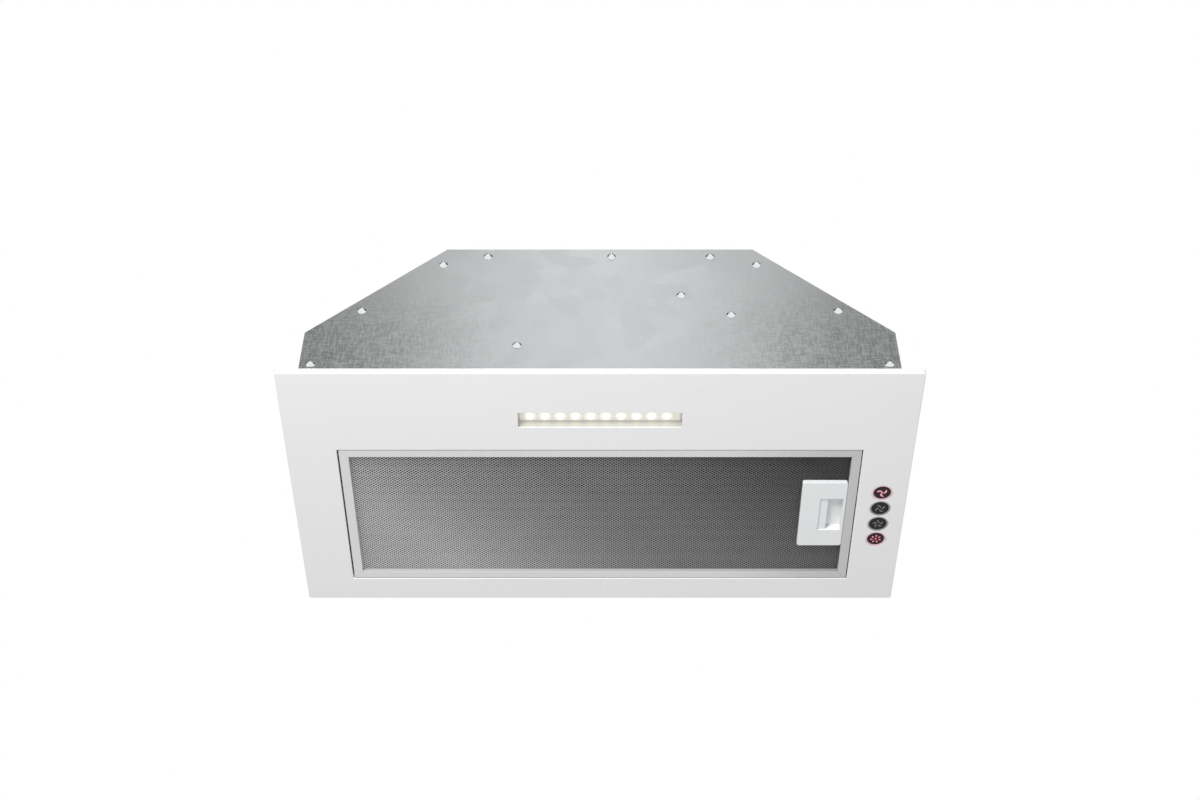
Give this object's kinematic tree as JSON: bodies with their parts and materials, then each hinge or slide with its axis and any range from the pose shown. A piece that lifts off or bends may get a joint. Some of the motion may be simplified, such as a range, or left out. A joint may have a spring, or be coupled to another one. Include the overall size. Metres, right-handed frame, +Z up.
{
  "type": "range hood insert",
  "caption": "Built-in range hood insert: galvanised chamfered body with blower and round outlet, white face panel with lamp slot, swing-down grease filter and round push buttons.",
  "frame": {"origin": "middle of the face panel's underside, the surface that the hood rests on when it is set down", "axes": "+X to the right seen from the front, +Y from the front to the rear, +Z up towards the outlet"},
  "size_m": [0.598, 0.31, 0.224],
  "materials": {
    "white_enamel": "smooth white enamelled steel",
    "galvanised_steel": "galvanised sheet with a fine woven spangle",
    "bright_steel": "bright zinc plate",
    "black_plastic": "fine-grained black moulding",
    "frame_aluminium": "satin aluminium strip",
    "mesh_aluminium": "expanded aluminium mesh",
    "white_plastic": "satin white moulding",
    "lamp_white": "white reflector",
    "circuit_board": "solder mask",
    "led_face": "warm white LED face",
    "driver_white": "white moulding",
    "button_black": "black cap with a printed pictogram",
    "ring_lit": "translucent ring lit from behind",
    "ring_grey": "translucent ring, unlit",
    "motor_metal": "cast and rolled metal",
    "turned_steel": "turned steel",
    "lead_sheath": "flexible sheath",
    "switch_plastic": "moulded switch and terminal bodies"
  },
  "bodies": {
    "hood": {"bearing_left": "turned_steel", "bearing_right": "turned_steel", "body_wrap": "galvanised_steel", "bracket_screws": "bright_steel", "capacitor": "motor_metal", "collar_screws": "bright_steel", "control_board": "circuit_board", "control_housing": "black_plastic", "control_lead": "lead_sheath", "cord_gland": "black_plastic", "face_panel": "white_enamel", "field_screws": "bright_steel", "flap_pin": "bright_steel", "foot_rivets": "bright_steel", "front_plate": "galvanised_steel", "gland_nut": "black_plastic", "key_switches": "switch_plastic", "lamp_board": "lamp_white", "lamp_driver": "driver_white", "lamp_lead": "lead_sheath", "lamp_leds": "led_face", "lamp_trough": "lamp_white", "motor": "motor_metal", "motor_bracket": "galvanised_steel", "motor_lead": "lead_sheath", "outlet_collar": "black_plastic", "plate_rivets": "bright_steel", "power_board": "circuit_board", "rear_plate": "galvanised_steel", "ring_lamp": "ring_lit", "ring_speed_high": "ring_grey", "ring_speed_low": "ring_lit", "ring_speed_middle": "ring_grey", "scroll_screws": "bright_steel", "scroll_side_left": "galvanised_steel", "scroll_side_right": "galvanised_steel", "scroll_wrap": "galvanised_steel", "terminal_block": "switch_plastic", "terminal_box": "black_plastic", "terminal_lid": "black_plastic"},
    "filter": {"filter_frame_front": "frame_aluminium", "filter_frame_rear": "frame_aluminium", "filter_frame_left": "frame_aluminium", "filter_frame_right": "frame_aluminium", "filter_mesh_lower": "mesh_aluminium", "filter_core": "mesh_aluminium", "filter_mesh_upper": "mesh_aluminium", "filter_tabs": "black_plastic", "latch_plate": "white_plastic", "latch_spring": "turned_steel"},
    "latch": {"latch_slider": "white_plastic"},
    "impeller_wheel": {"impeller": "black_plastic", "motor_shaft": "turned_steel"},
    "flap_at_front": {"flap_front": "black_plastic"},
    "flap_at_rear": {"flap_rear": "black_plastic"},
    "button_speed_low_body": {"button_speed_low": "button_black"},
    "button_speed_middle_body": {"button_speed_middle": "button_black"},
    "button_speed_high_body": {"button_speed_high": "button_black"},
    "button_lamp_body": {"button_lamp": "button_black"}
  },
  "joints": [
    {"name": "filter_swing", "type": "hinge", "parent": "hood", "child": "filter", "pos_m": [-0.24935, 0.034, 0.0018], "axis": [0, 1, 0], "range_deg": [0, 80]},
    {"name": "latch_slide", "type": "slide", "parent": "filter", "child": "latch", "axis": [-1, 0, 0], "range_m": [0, 0.0055], "stiffness_N_per_m": 120, "deforming": ["latch_spring"]},
    {"name": "impeller_spin", "type": "hinge", "parent": "hood", "child": "impeller_wheel", "pos_m": [0, -0.035, 0.098], "axis": [1, 0, 0], "continuous": true},
    {"name": "flap_front_swing", "type": "hinge", "parent": "hood", "child": "flap_at_front", "pos_m": [0, 0.0045, 0.205], "axis": [-1, 0, 0], "range_deg": [0, 75]},
    {"name": "flap_rear_swing", "type": "hinge", "parent": "hood", "child": "flap_at_rear", "pos_m": [0, 0.0045, 0.205], "axis": [1, 0, 0], "range_deg": [0, 75]},
    {"name": "button_speed_low_press", "type": "slide", "parent": "hood", "child": "button_speed_low_body", "axis": [0, 0, 1], "range_m": [0, 0.0008], "stiffness_N_per_m": 600},
    {"name": "button_speed_middle_press", "type": "slide", "parent": "hood", "child": "button_speed_middle_body", "axis": [0, 0, 1], "range_m": [0, 0.0008], "stiffness_N_per_m": 600},
    {"name": "button_speed_high_press", "type": "slide", "parent": "hood", "child": "button_speed_high_body", "axis": [0, 0, 1], "range_m": [0, 0.0008], "stiffness_N_per_m": 600},
    {"name": "button_lamp_press", "type": "slide", "parent": "hood", "child": "button_lamp_body", "axis": [0, 0, 1], "range_m": [0, 0.0008], "stiffness_N_per_m": 600}
  ]
}
